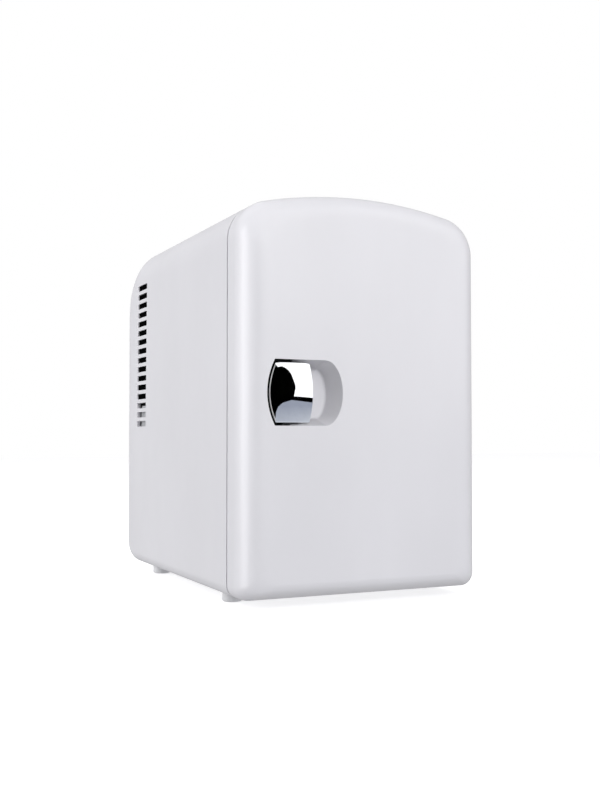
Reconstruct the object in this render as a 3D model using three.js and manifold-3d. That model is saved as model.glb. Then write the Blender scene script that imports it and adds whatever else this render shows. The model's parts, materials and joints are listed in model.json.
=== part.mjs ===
// Portable thermoelectric mini fridge, in millimetres.
// X runs to the right, the door faces -Y, and Z runs up from the floor.
import * as THREE from 'three';
import { mergeVertices } from 'three/addons/utils/BufferGeometryUtils.js';
import Module from 'manifold-3d';

const wasm = await Module();
wasm.setup();

// Driving dimensions
const WIDTH = 168;
const DEPTH = 250;
const HEIGHT = 256;
const FOOT_HEIGHT = 6;
const WALL = 2.5;
const GAP = 0.3;
const TOP_SAG = 12; // fall of the arched top from its middle to its ends
const TOP_CORNER = 24.4;
const BOTTOM_CORNER = 8.3;
const DOOR_SEAM = -97.6; // Y of the parting line between door and body
const SEAM_GAP = 1.5;
const FRONT_ROLL = { depth: 17, side: 17, top: 15, bottom: 11 };
const REAR_ROLL = { depth: 32, side: 1.2, top: 32, bottom: 10 };

const LOWER_ROLL_EASE = 6; // how much deeper the lower edge's roll runs than its reach

const CABIN = { halfWidth: 63, bottom: 27, top: 227, rear: 38, corner: 9, wall: 1.5 };
const COOLER_Z = 131; // middle height of the cooling stack, the fan grille and the door handle
const INSULATION_REAR = 57.5;
const FRAME_THICKNESS = 3;
const BIN = { halfWidth: 50, front: -99, rear: -72, bottom: 42, top: 78, wall: 1.8, corner: 5 };
const SHELF = { halfWidth: 61.8, front: -64, rear: 30, bottom: 126.1, thickness: 2.5, slots: 9, pitch: 12 };
const RAIL = { middle: 62.5, width: 4, depth: 98, height: 2.2 };

const VENT = { count: 16, top: 221.5, pitch: 7.02, height: 4.2, front: 74.5, rear: 97.2, lean: 0.022 };
const COVER = {
  halfWidth: 72, bottom: 20, top: 216, corner: 12, rear: 124, thickness: 2.5, lip: 6, ledge: 5,
};
const COVER_SCREW = {
  radius: 1.4, head: 2.8, length: 6.5, headHeight: 1, hole: 1.8, sinkRadius: 3.2, sink: 1.3,
};
const GRILLE = { radius: 38, pitch: 8, slot: 4, spoke: 4, rows: 9 };

const COLD = { half: 20, blockFront: 38.1, blockRear: 54.1, moduleFront: 54.5, moduleRear: 57.9 };
const PLATE = { halfWidth: 38, halfHeight: 48, front: 34.7, thickness: 3, corner: 4 };
const SINK = { halfWidth: 44, front: 58.2, base: 5, rear: 94.9, fins: 11, fin: 1.6, halfHeight: 45 };
const FAN = { size: 80, front: 95.3, depth: 20, bore: 37.5, hub: 14, blades: 7, holePitch: 71.5, hole: 2.2 };

const HINGE = { x: 77.5, y: -105, radius: 1.75, bore: 2.1, lug: 5, halfHeight: 8, boss: 10 };
const HINGE_Z = { lower: 52, upper: 196 };
const TENON = { left: 74, right: 80, rear: -90, halfHeight: 6 }; // the part of a hinge lug let into the frame
const NOTCH = { left: 71.6, front: -112.2, halfHeight: 9 }; // room for a hinge lug in the door
const BOSS = { left: 70, front: -113.5, rear: -99.7 };

const HANDLE = { left: -69, right: -18.5, halfHeight: 20, bow: 5, end: 12, depth: 15, cupWall: 1.8 };
const LATCH_CUP = { front: -124.7, wall: 0.9, floor: 1.5, right: -42 };
const PIVOT = { x: -62, y: -117.5, radius: 1.25, bore: 1.55, halfLength: 18.8 };
const LEVER = { halfHeight: 18, leftBow: 4, rightBow: 2.4, thickness: 2.2, barrel: 2.4, barrelHalf: 14.3 };
const LEVER_PLAN = { left: [-66.4, -120], crown: [-52, -124.4], right: [-37.2, -121.2] };
const TAIL = { halfWidth: 1.5, tip: -104, halfHeight: 4, roomLeft: 2.6, roomRight: 4.6 };
const TONGUE = {
  left: -75.5, right: -56, front: -107, rear: -103.6, halfHeight: 6, arm: 2.5, tip: -88, travel: 3.2,
};
const SPRING = { coil: 2.15, wire: 0.3, turns: 4, pitch: 0.9, bottom: 6.4, roomBottom: 5.6, roomTop: 10.8 };
const KEEPER = { left: -81.1, right: -78.7, front: -93.45, rear: -91.95, halfHeight: 10 };

const CARRY = {
  halfWidth: 54, bar: 10, front: -17, rear: 30, drop: 0.8, thickness: 7, pivotY: -12, pivotZ: 246.8,
};
const CARRY_PIN = { radius: 1.5, bore: 1.9, inner: 50, outer: 57.9 };
// The hollow in the top that the carry handle folds into
const TRAY = { halfWidth: 56, front: -20, rear: 34, floor: 236, corner: 6, wall: 2 };
const FEET = {
  x: 70, front: -71, rear: 77, radius: 6.5, sole: 5.7, chamfer: 0.9, stem: 2.2, hole: 2.6, top: 8.4,
};

const POWER = { left: -76, right: -47, front: 82, rear: 111.7, bottom: 9, top: 128, chamfer: 16, wall: 1.8 };
const POWER_RIB = { left: -80.6, bottom: 60 }; // the housing's bearing on the side wall, behind the vents
const CONTROL_X = -54;
const CONTROL_Z = { mains: 40, battery: 66, switch: 92, warm: 108, cool: 116 };
const MAINS = { halfWidth: 11, halfHeight: 7, corner: 3, front: 112, rear: 124.4, pin: 1.2, pinSpread: 4.3 };
const BATTERY = { radius: 6, bore: 4.2, pin: 1 };
const SWITCH = { halfWidth: 4, halfHeight: 7, front: 113, rear: 123.4, slotHalf: 2.4, slotHalfHeight: 5.8 };
const LENS = { radius: 1.8, length: 5, front: 119.8 };

const BODY_FRONT = DOOR_SEAM + SEAM_GAP / 2;
const DOOR_REAR = DOOR_SEAM - SEAM_GAP / 2;
const REAR = DEPTH / 2;
const FRONT = -DEPTH / 2;
const ARCH_RADIUS = ((WIDTH / 2) ** 2 + TOP_SAG ** 2) / (2 * TOP_SAG);
const ARCH_CENTRE = HEIGHT - ARCH_RADIUS;
const FAR = 400; // beyond the object on every side, for cutters
const REAR_PLATES = 100; // Y in front of everything that's cut in the rear cover

// ---------------------------------------------------------------- solids

function solid(geometry) {
  const bare = geometry.index ? geometry.toNonIndexed() : geometry;
  bare.deleteAttribute('normal');
  bare.deleteAttribute('uv');
  const merged = mergeVertices(bare, 1e-4);
  return new wasm.Manifold(new wasm.Mesh({
    numProp: 3,
    vertProperties: merged.attributes.position.array,
    triVerts: new Uint32Array(merged.index.array),
  }));
}

function joined(solids) {
  return solids.reduce((sum, one) => sum.add(one));
}

function without(body, cutters) {
  return cutters.reduce((rest, cutter) => rest.subtract(cutter), body);
}

function box(x0, x1, y0, y1, z0, z1) {
  const geometry = new THREE.BoxGeometry(x1 - x0, y1 - y0, z1 - z0);
  return solid(geometry.translate((x0 + x1) / 2, (y0 + y1) / 2, (z0 + z1) / 2));
}

// A box of the given sizes about a middle point, turned about one of the axes.
function block(middle, size, turn = new THREE.Euler()) {
  const geometry = new THREE.BoxGeometry(...size);
  geometry.applyMatrix4(new THREE.Matrix4().makeRotationFromEuler(turn));
  return solid(geometry.translate(...middle));
}

// A straight prism of a front view (X, Z), a side view (Y, Z) or a plan view (X, Y).
function prismY(shape, y0, y1) {
  const geometry = new THREE.ExtrudeGeometry(shape, { depth: y1 - y0, bevelEnabled: false });
  return solid(geometry.rotateX(Math.PI / 2).translate(0, y1, 0));
}

function prismX(shape, x0, x1) {
  const geometry = new THREE.ExtrudeGeometry(shape, { depth: x1 - x0, bevelEnabled: false });
  const axes = new THREE.Matrix4().makeBasis(
    new THREE.Vector3(0, 1, 0), new THREE.Vector3(0, 0, 1), new THREE.Vector3(1, 0, 0));
  return solid(geometry.applyMatrix4(axes).translate(x0, 0, 0));
}

function prismZ(shape, z0, z1) {
  const geometry = new THREE.ExtrudeGeometry(shape, { depth: z1 - z0, bevelEnabled: false });
  return solid(geometry.translate(0, 0, z0));
}

function rodX(x0, x1, y, z, radius, sides = 12) {
  const geometry = new THREE.CylinderGeometry(radius, radius, x1 - x0, sides);
  return solid(geometry.rotateZ(-Math.PI / 2).translate((x0 + x1) / 2, y, z));
}

function rodY(x, y0, y1, z, radius, sides = 12) {
  const geometry = new THREE.CylinderGeometry(radius, radius, y1 - y0, sides);
  return solid(geometry.translate(x, (y0 + y1) / 2, z));
}

function rodZ(x, y, z0, z1, radius, sides = 12) {
  const geometry = new THREE.CylinderGeometry(radius, radius, z1 - z0, sides);
  return solid(geometry.rotateX(Math.PI / 2).translate(x, y, (z0 + z1) / 2));
}

// ---------------------------------------------------------------- outlines

function arcPoints(cx, cy, radius, from, to, steps) {
  const points = [];
  for (let i = 0; i <= steps; i++) {
    const angle = from + ((to - from) * i) / steps;
    points.push(new THREE.Vector2(cx + radius * Math.cos(angle), cy + radius * Math.sin(angle)));
  }
  return points;
}

function roundedRectangle(x0, x1, y0, y1, radius, steps = 4) {
  const turn = Math.PI / 2;
  return new THREE.Shape([
    ...arcPoints(x1 - radius, y0 + radius, radius, -turn, 0, steps),
    ...arcPoints(x1 - radius, y1 - radius, radius, 0, turn, steps),
    ...arcPoints(x0 + radius, y1 - radius, radius, turn, 2 * turn, steps),
    ...arcPoints(x0 + radius, y0 + radius, radius, 2 * turn, 3 * turn, steps),
  ]);
}

// The front view of door and body: straight sides, small lower corners and a shallow arch over larger ones.
function frontOutline(inset) {
  const half = WIDTH / 2 - inset;
  const bottom = FOOT_HEIGHT + inset;
  const arch = ARCH_RADIUS - inset;
  const corner = TOP_CORNER - inset;
  const lower = Math.max(BOTTOM_CORNER - inset, 1);
  const cornerX = half - corner;
  const cornerZ = ARCH_CENTRE + Math.sqrt((arch - corner) ** 2 - cornerX ** 2);
  const meet = Math.atan2(cornerZ - ARCH_CENTRE, cornerX);
  return new THREE.Shape([
    ...arcPoints(half - lower, bottom + lower, lower, -Math.PI / 2, 0, 3),
    ...arcPoints(cornerX, cornerZ, corner, 0, meet, 6).slice(0, -1),
    ...arcPoints(0, ARCH_CENTRE, arch, meet, Math.PI - meet, 12).slice(0, -1),
    ...arcPoints(-cornerX, cornerZ, corner, Math.PI - meet, Math.PI, 6),
    ...arcPoints(-half + lower, bottom + lower, lower, Math.PI, 1.5 * Math.PI, 3),
  ]);
}

// Draws a front outline through a list of stations from rear to front. At each one the outline is drawn in
// by the station's margins, so the corners keep their shape as an end rolls over.
function rolledPrism(inset, stations) {
  const steps = stations.length - 1;
  const geometry = new THREE.ExtrudeGeometry(
    frontOutline(inset), { depth: steps, steps, bevelEnabled: false });
  const position = geometry.attributes.position;
  const half = WIDTH / 2 - inset;
  const bottom = FOOT_HEIGHT + inset;
  const height = HEIGHT - inset - bottom;
  for (let i = 0; i < position.count; i++) {
    const station = stations[Math.round(position.getZ(i))];
    const x = position.getX(i) * (1 - station.side / half);
    const rise = (position.getY(i) - bottom) * (1 - (station.top + station.bottom) / height);
    position.setXYZ(i, x, station.y, bottom + station.bottom + rise);
  }
  return solid(geometry);
}

// The margin left by an elliptical roll of the given reach, at a distance from the end face.
function rollMargin(reach, depth, distance) {
  const past = Math.max(0, 1 - distance / depth);
  return reach * (1 - Math.sqrt(1 - past ** 2));
}

// Stations of a rolled end. sign is +1 for a rear end and -1 for a front one.
function rollStations(end, sign, roll, inset, steps) {
  const depth = roll.depth - inset;
  const lowerReach = roll.bottom - inset;
  const lowerDepth = Math.min(lowerReach, depth) + LOWER_ROLL_EASE;
  const stations = [];
  for (let i = 0; i <= steps; i++) {
    const distance = depth * (1 - Math.cos((Math.PI / 2) * (i / steps)));
    stations.push({
      y: end - sign * distance,
      side: rollMargin(Math.max(roll.side - inset, 1), depth, distance),
      top: rollMargin(roll.top - inset, depth, distance),
      bottom: rollMargin(lowerReach, lowerDepth, distance),
    });
  }
  return stations;
}

function bodyForm(inset, front) {
  const plain = { y: front, side: 0, top: 0, bottom: 0 };
  return rolledPrism(inset, [...rollStations(REAR - inset, 1, REAR_ROLL, inset, 6), plain]);
}

function doorForm(inset, rear) {
  const plain = { y: rear, side: 0, top: 0, bottom: 0 };
  const rolled = rollStations(FRONT + inset, -1, FRONT_ROLL, inset, 5).reverse();
  return rolledPrism(inset, [plain, ...rolled]);
}

// The rounded outline of a piece that's centred in X, grown by an offset.
function centredOutline({ halfWidth, bottom, top, corner }, offset) {
  return roundedRectangle(
    -halfWidth - offset, halfWidth + offset, bottom - offset, top + offset, corner + offset);
}

function cabinOutline(offset) {
  return centredOutline(CABIN, offset);
}

function coverOutline(offset) {
  return centredOutline(COVER, offset);
}

// The handle opening in the door: a bowed left side and a right end that's half an ellipse.
function handleOutline(inset) {
  const half = HANDLE.halfHeight - inset;
  const bowRadius = (HANDLE.halfHeight ** 2 + HANDLE.bow ** 2) / (2 * HANDLE.bow) - inset;
  const bowX = HANDLE.left + inset + bowRadius;
  const bowAngle = Math.asin(half / bowRadius);
  const end = arcPoints(0, 0, 1, -Math.PI / 2, Math.PI / 2, 12).map((p) => new THREE.Vector2(
    HANDLE.right - HANDLE.end + p.x * (HANDLE.end - inset), COOLER_Z + p.y * half));
  return new THREE.Shape([
    ...end,
    ...arcPoints(bowX, COOLER_Z, bowRadius, Math.PI - bowAngle, Math.PI + bowAngle, 8),
  ]);
}

// ---------------------------------------------------------------- the group and its meshes

const group = new THREE.Group();
group.name = 'mini_fridge';

const finish = {
  shell: new THREE.MeshStandardMaterial({ color: 0xe4e3e8, roughness: 0.45 }),
  liner: new THREE.MeshStandardMaterial({ color: 0xe9e9ec, roughness: 0.4 }),
  black: new THREE.MeshStandardMaterial({ color: 0x0b0b0c, roughness: 0.35 }),
  chrome: new THREE.MeshStandardMaterial({ color: 0xd6d8dc, roughness: 0.06, metalness: 1 }),
  steel: new THREE.MeshStandardMaterial({ color: 0xb4b6ba, roughness: 0.3, metalness: 1 }),
  aluminium: new THREE.MeshStandardMaterial({ color: 0xc3c6ca, roughness: 0.4, metalness: 1 }),
  foam: new THREE.MeshStandardMaterial({ color: 0xf4f4f2, roughness: 0.95 }),
  rubber: new THREE.MeshStandardMaterial({ color: 0xc9c9cc, roughness: 0.8 }),
  seal: new THREE.MeshStandardMaterial({ color: 0xdededf, roughness: 0.85 }),
  ceramic: new THREE.MeshStandardMaterial({ color: 0xf2f2ee, roughness: 0.5 }),
  board: new THREE.MeshStandardMaterial({ color: 0x1f5a34, roughness: 0.5 }),
  housing: new THREE.MeshStandardMaterial({ color: 0xb9babd, roughness: 0.6 }),
  red: new THREE.MeshStandardMaterial({ color: 0xb3261e, roughness: 0.15 }),
  green: new THREE.MeshStandardMaterial({ color: 0x2f8f3a, roughness: 0.15 }),
  redWire: new THREE.MeshStandardMaterial({ color: 0xa8211c, roughness: 0.5 }),
};

// Adds a solid to the group as a named mesh.
function add(name, body, material) {
  const made = body.getMesh();
  const geometry = new THREE.BufferGeometry();
  geometry.setAttribute('position', new THREE.BufferAttribute(new Float32Array(made.vertProperties), 3));
  geometry.setIndex(new THREE.BufferAttribute(new Uint32Array(made.triVerts), 1));
  geometry.computeVertexNormals();
  const mesh = new THREE.Mesh(geometry, material);
  mesh.name = name;
  group.add(mesh);
}

// ---------------------------------------------------------------- carry handle

// The band under the arched top that the folded carry handle fills.
function archBand(top, thickness) {
  const right = Math.PI / 2 - 0.25;
  const left = Math.PI / 2 + 0.25;
  const outer = arcPoints(0, ARCH_CENTRE, ARCH_RADIUS - top, right, left, 14);
  const inner = arcPoints(0, ARCH_CENTRE, ARCH_RADIUS - top - thickness, left, right, 14);
  return prismY(new THREE.Shape([...outer, ...inner]), -FAR, FAR);
}

function carryHandle() {
  const { halfWidth, bar, front, rear, drop, thickness, pivotY, pivotZ } = CARRY;
  const gripHalf = halfWidth - bar;
  const outer = prismZ(roundedRectangle(-halfWidth, halfWidth, front - 20, rear, 10), 0, FAR);
  const hollow = prismZ(roundedRectangle(-gripHalf, gripHalf, front - 40, rear - bar, 6), 0, FAR);
  const kept = joined([
    box(-FAR, FAR, pivotY, FAR, 0, FAR),
    rodX(-FAR, FAR, pivotY, pivotZ, pivotY - front, 20),
  ]);
  const boreEnd = CARRY_PIN.inner - 1;
  const bores = [[-FAR, -boreEnd], [boreEnd, FAR]].map(
    ([x0, x1]) => rodX(x0, x1, pivotY, pivotZ, CARRY_PIN.bore));
  return without(outer.subtract(hollow).intersect(archBand(drop, thickness)).intersect(kept), bores);
}

// ---------------------------------------------------------------- body

function ventSlots(sign) {
  const slots = [];
  for (let i = 0; i < VENT.count; i++) {
    const top = VENT.top - i * VENT.pitch;
    const shift = -VENT.lean * (top - 156);
    const x = sign * (WIDTH / 2);
    slots.push(box(x - 6, x + 6, VENT.front + shift, VENT.rear + shift, top - VENT.height, top));
  }
  return slots;
}

function footStems(radius) {
  return [-1, 1].flatMap((side) => [FEET.front, FEET.rear].map(
    (y) => rodZ(side * FEET.x, y, 0, CABIN.bottom, radius)));
}

const coverScrews = [-1, 1].flatMap((side) => [COVER.bottom, COVER.top].map((z) => {
  const reach = COVER.corner - (COVER.corner - COVER.lip / 2) * Math.SQRT1_2;
  return { x: side * (COVER.halfWidth - reach), z: z + (z === COVER.bottom ? reach : -reach) };
}));

function trayOutline(offset) {
  const { halfWidth, front, rear, corner } = TRAY;
  return roundedRectangle(-halfWidth - offset, halfWidth + offset, front - offset, rear + offset, corner);
}

// The box that the carry handle's tray takes up below the arched top, grown by a gap.
function trayBlock(gap) {
  const offset = TRAY.wall + gap;
  const side = TRAY.halfWidth + offset;
  return box(-side, side, TRAY.front - offset, TRAY.rear + offset, TRAY.floor - offset, FAR);
}

function outerShell() {
  const form = bodyForm(0, BODY_FRONT);
  const hollow = bodyForm(WALL, BODY_FRONT - 10);
  const pinReach = CARRY_PIN.outer + 2.1;
  const ledge = prismY(coverOutline(COVER.ledge), COVER.rear - COVER.ledge - 0.1, REAR - 1);
  const cutters = [
    prismZ(trayOutline(0), TRAY.floor, FAR),
    rodX(-pinReach, pinReach, CARRY.pivotY, CARRY.pivotZ, CARRY_PIN.bore),
    prismY(coverOutline(0.35), COVER.rear - COVER.thickness - GAP, FAR),
    prismY(coverOutline(-COVER.lip), REAR_PLATES, FAR),
    ...coverScrews.map((s) => rodY(s.x, REAR_PLATES, FAR, s.z, COVER_SCREW.hole)),
    ...ventSlots(-1),
    ...ventSlots(1),
    ...footStems(FEET.hole),
  ];
  return without(joined([form.subtract(hollow), trayBlock(0).intersect(form), ledge]), cutters);
}

// Sockets for the hinge tenons, grown by a gap.
function tenonSockets(gap) {
  const reach = TENON.halfHeight + gap;
  return Object.values(HINGE_Z).map(
    (z) => box(TENON.left - gap, TENON.right + gap, -FAR, TENON.rear + gap, z - reach, z + reach));
}

function frontFrame() {
  const plate = prismY(frontOutline(WALL + GAP), BODY_FRONT, BODY_FRONT + FRAME_THICKNESS);
  const latchReach = TONGUE.halfHeight + 2;
  return without(plate, [
    prismY(cabinOutline(CABIN.wall + GAP), -FAR, FAR),
    box(-78.4, -69.4, -FAR, FAR, COOLER_Z - latchReach, COOLER_Z + latchReach),
    ...tenonSockets(GAP),
  ]);
}

function innerLiner() {
  const outer = prismY(cabinOutline(CABIN.wall), BODY_FRONT, CABIN.rear + CABIN.wall);
  const inner = prismY(cabinOutline(0), -FAR, CABIN.rear);
  const hole = COLD.half + 2;
  const shell = without(outer, [inner, box(-hole, hole, 0, FAR, COOLER_Z - hole, COOLER_Z + hole)]);
  const shelfMiddle = (SHELF.front + SHELF.rear) / 2;
  const railZ = SHELF.bottom - 0.4 - RAIL.height / 2;
  const rails = [-1, 1].map((side) => block(
    [side * RAIL.middle, shelfMiddle, railZ], [RAIL.width, RAIL.depth, RAIL.height]));
  return joined([shell, ...rails]);
}

const LEAD_GROOVE = { front: 54.8, bottom: COOLER_Z + 6.4, top: COOLER_Z + 9.6 };

function insulation() {
  const front = BODY_FRONT + FRAME_THICKNESS + GAP;
  const outer = bodyForm(WALL + GAP, front).intersect(box(-FAR, FAR, -FAR, INSULATION_REAR, 0, FAR));
  const hole = COLD.half + 0.5;
  const keeperReach = KEEPER.halfHeight + 3;
  return without(outer, [
    prismY(cabinOutline(CABIN.wall + GAP), -FAR, CABIN.rear + CABIN.wall + GAP),
    box(-hole, hole, 0, FAR, COOLER_Z - hole, COOLER_Z + hole),
    box(-FAR, -69, -FAR, TONGUE.tip + 2, COOLER_Z - keeperReach, COOLER_Z + keeperReach),
    box(-50, -hole, LEAD_GROOVE.front, FAR, LEAD_GROOVE.bottom, LEAD_GROOVE.top),
    trayBlock(0.5),
    ...tenonSockets(2 * GAP),
  ]);
}

function grilleSlots() {
  const slots = [];
  for (let i = 0; i < GRILLE.rows; i++) {
    const z = (i - (GRILLE.rows - 1) / 2) * GRILLE.pitch;
    const half = Math.sqrt(GRILLE.radius ** 2 - (Math.abs(z) + GRILLE.slot / 2) ** 2);
    const low = COOLER_Z + z - GRILLE.slot / 2;
    slots.push(box(-half, -GRILLE.spoke / 2, REAR_PLATES, FAR, low, low + GRILLE.slot));
    slots.push(box(GRILLE.spoke / 2, half, REAR_PLATES, FAR, low, low + GRILLE.slot));
  }
  return slots;
}

function screwSinks() {
  return coverScrews.flatMap((s) => [
    rodY(s.x, REAR_PLATES, FAR, s.z, COVER_SCREW.hole),
    rodY(s.x, COVER.rear - COVER_SCREW.sink, FAR, s.z, COVER_SCREW.sinkRadius),
  ]);
}

// Holes in the rear cover for the sockets, the switch and the two lenses.
function controlHoles() {
  const gap = 0.4;
  const mainsHalf = MAINS.halfWidth + gap;
  const mainsHeight = MAINS.halfHeight + gap;
  const mains = roundedRectangle(
    CONTROL_X - mainsHalf, CONTROL_X + mainsHalf,
    CONTROL_Z.mains - mainsHeight, CONTROL_Z.mains + mainsHeight, MAINS.corner, 3);
  const switchHalf = SWITCH.halfWidth + gap;
  const switchHeight = SWITCH.halfHeight + gap;
  return [
    prismY(mains, REAR_PLATES, FAR),
    rodY(CONTROL_X, REAR_PLATES, FAR, CONTROL_Z.battery, BATTERY.radius + gap, 16),
    box(CONTROL_X - switchHalf, CONTROL_X + switchHalf, REAR_PLATES, FAR,
      CONTROL_Z.switch - switchHeight, CONTROL_Z.switch + switchHeight),
    rodY(CONTROL_X, REAR_PLATES, FAR, CONTROL_Z.warm, LENS.radius + gap),
    rodY(CONTROL_X, REAR_PLATES, FAR, CONTROL_Z.cool, LENS.radius + gap),
  ];
}

function rearCover() {
  const rear = COVER.rear;
  const plate = prismY(coverOutline(0), rear - COVER.thickness, rear);
  return without(plate, [...grilleSlots(), ...screwSinks(), ...controlHoles()]);
}

function shelf() {
  const { halfWidth, front, rear, bottom, thickness } = SHELF;
  const outline = roundedRectangle(-halfWidth, halfWidth, front, rear, 5, 3);
  const plate = prismZ(outline, bottom, bottom + thickness);
  const slots = [];
  for (let i = 0; i < SHELF.slots; i++) {
    const x = (i - (SHELF.slots - 1) / 2) * SHELF.pitch;
    slots.push(box(x - 3, x + 3, front + 10, rear - 10, 0, FAR));
  }
  return without(plate, slots);
}

add('outer_shell', outerShell(), finish.shell);
add('front_frame', frontFrame(), finish.liner);
add('inner_liner', innerLiner(), finish.liner);
add('insulation', insulation(), finish.foam);
add('rear_cover', rearCover(), finish.shell);
add('shelf', shelf(), finish.liner);
add('carry_handle', carryHandle(), finish.shell);
for (const [side, x0, x1] of [
  ['left', -CARRY_PIN.outer, -CARRY_PIN.inner],
  ['right', CARRY_PIN.inner, CARRY_PIN.outer],
]) {
  add(`handle_pin_${side}`, rodX(x0, x1, CARRY.pivotY, CARRY.pivotZ, CARRY_PIN.radius), finish.steel);
}

// A turned piece: its profile runs in radius and height, and it stands with its foot at the given place.
function turned(profile, place, sides = 16, turn = new THREE.Euler()) {
  const geometry = new THREE.LatheGeometry(profile.map(([r, h]) => new THREE.Vector2(r, h)), sides);
  geometry.rotateX(Math.PI / 2);
  geometry.applyMatrix4(new THREE.Matrix4().makeRotationFromEuler(turn));
  return solid(geometry.translate(...place));
}

const footTop = FOOT_HEIGHT - GAP;
const footProfile = [
  [0, 0], [FEET.sole, 0], [FEET.radius, FEET.chamfer], [FEET.radius, footTop],
  [FEET.stem, footTop], [FEET.stem, FEET.top], [0, FEET.top],
];
for (const [side, x] of [['left', -FEET.x], ['right', FEET.x]]) {
  for (const [end, y] of [['front', FEET.front], ['rear', FEET.rear]]) {
    add(`foot_${end}_${side}`, turned(footProfile, [x, y, 0]), finish.rubber);
  }
}

const toRear = new THREE.Euler(-Math.PI / 2, 0, 0); // stands a turned piece along +Y

// The side view of a flat-headed screw with its tip at the start.
function screwProfile(radius, head, length, headHeight) {
  const neck = length - headHeight;
  return [[0, 0], [radius, 0], [radius, neck], [head, neck], [head, length], [0, length]];
}

const coverScrewProfile = screwProfile(
  COVER_SCREW.radius, COVER_SCREW.head, COVER_SCREW.length, COVER_SCREW.headHeight);
coverScrews.forEach((s, i) => {
  const place = [s.x, COVER.rear - COVER_SCREW.length, s.z];
  add(`rear_screw_${i + 1}`, turned(coverScrewProfile, place, 12, toRear), finish.steel);
});

// ---------------------------------------------------------------- cooling stack

function heatSink() {
  const { halfWidth, front, base, rear, fins, fin, halfHeight } = SINK;
  const plate = box(-halfWidth, halfWidth, front, front + base, COOLER_Z - halfHeight, COOLER_Z + halfHeight);
  const pitch = (2 * halfWidth - fin) / (fins - 1);
  const blades = [];
  for (let i = 0; i < fins; i++) {
    const left = -halfWidth + i * pitch;
    blades.push(box(left, left + fin, front, rear, COOLER_Z - halfHeight, COOLER_Z + halfHeight));
  }
  return joined([plate, ...blades]);
}

const fanRear = FAN.front + FAN.depth;
const fanHoles = [-1, 1].flatMap((side) => [-1, 1].map((level) => ({
  x: (side * FAN.holePitch) / 2,
  z: COOLER_Z + (level * FAN.holePitch) / 2,
})));

// The square frame, with a motor plate behind the rotor on two crossed struts.
function fanFrame() {
  const body = block([0, FAN.front + FAN.depth / 2, COOLER_Z], [FAN.size, FAN.depth, FAN.size]);
  const open = body.subtract(rodY(0, 0, FAR, COOLER_Z, FAN.bore, 28));
  const struts = [Math.PI / 8, (3 * Math.PI) / 8].map((angle) => block(
    [0, fanRear - 1, COOLER_Z], [2 * FAN.bore + 2, 2, 3], new THREE.Euler(0, angle, 0)));
  const motorPlate = rodY(0, fanRear - 2, fanRear, COOLER_Z, FAN.hub + 1, 20);
  const holes = fanHoles.map((h) => rodY(h.x, 0, FAR, h.z, FAN.hole, 10));
  return without(joined([open, motorPlate, ...struts]), holes);
}

function fanRotor() {
  const hub = rodY(0, FAN.front + 1.7, fanRear - 2.7, COOLER_Z, FAN.hub, 20);
  const blades = [];
  for (let i = 0; i < FAN.blades; i++) {
    const angle = (i * 2 * Math.PI) / FAN.blades;
    const geometry = new THREE.BoxGeometry(FAN.bore - FAN.hub, 15, 1.4);
    geometry.rotateX(0.62).translate(24, 0, 0).rotateY(angle).translate(0, FAN.front + 9.5, COOLER_Z);
    blades.push(solid(geometry));
  }
  return joined([hub, ...blades]);
}

function coldPlate() {
  const { halfWidth, halfHeight, front, thickness, corner } = PLATE;
  const outline = roundedRectangle(
    -halfWidth, halfWidth, COOLER_Z - halfHeight, COOLER_Z + halfHeight, corner, 2);
  return prismY(outline, front, front + thickness);
}

// A square block of the cooling stack between two depths.
function stackBlock(front, rear) {
  return box(-COLD.half, COLD.half, front, rear, COOLER_Z - COLD.half, COOLER_Z + COLD.half);
}

add('cold_plate', coldPlate(), finish.aluminium);
add('cold_block', stackBlock(COLD.blockFront, COLD.blockRear), finish.aluminium);
add('peltier_module', stackBlock(COLD.moduleFront, COLD.moduleRear), finish.ceramic);
add('heat_sink', heatSink(), finish.aluminium);
add('fan_frame', fanFrame(), finish.black);
add('fan_rotor', fanRotor(), finish.black);
const fanScrewProfile = screwProfile(1.7, 3.2, FAN.depth + 1.4, 1.5);
fanHoles.forEach((h, i) => {
  add(`fan_screw_${i + 1}`, turned(fanScrewProfile, [h.x, FAN.front + 0.4, h.z], 10, toRear), finish.steel);
});

// ---------------------------------------------------------------- power supply and controls

function powerBoard() {
  const plate = box(-73.6, -72, 86, 110, 14, 108);
  const transformer = box(-72.1, -55, 89, 106, 62, 84);
  const capacitor = rodX(-72.1, -56, 98, 44, 6, 14);
  const choke = box(-72.1, -62, 90, 104, 94, 106);
  return joined([plate, transformer, capacitor, choke]);
}

function powerHousing() {
  const { left, right, front, rear, bottom, top, chamfer, wall } = POWER;
  const view = new THREE.Shape([
    new THREE.Vector2(front, bottom), new THREE.Vector2(rear, bottom),
    new THREE.Vector2(rear, top - chamfer), new THREE.Vector2(rear - chamfer, top),
    new THREE.Vector2(front, top)]);
  const room = box(left + wall, right - wall, front + wall, FAR, bottom + 2, top - chamfer - wall);
  const rib = prismX(view, POWER_RIB.left, left).intersect(box(-FAR, FAR, -FAR, FAR, POWER_RIB.bottom, FAR));
  return prismX(view, left, right).subtract(room).add(rib);
}

function mainsInlet() {
  const z = CONTROL_Z.mains;
  const { halfWidth, halfHeight, corner, front, rear, pin, pinSpread } = MAINS;
  const wall = 2.5;
  const socketHalf = halfWidth - wall;
  const socketHeight = halfHeight - wall;
  const outline = roundedRectangle(
    CONTROL_X - halfWidth, CONTROL_X + halfWidth, z - halfHeight, z + halfHeight, corner, 3);
  const socket = roundedRectangle(
    CONTROL_X - socketHalf, CONTROL_X + socketHalf, z - socketHeight, z + socketHeight, 4.4, 4);
  const pins = [-pinSpread, pinSpread].map((x) => rodY(CONTROL_X + x, front + wall, rear - 1.9, z, pin, 10));
  return joined([prismY(outline, front, rear).subtract(prismY(socket, front + 3, FAR)), ...pins]);
}

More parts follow.
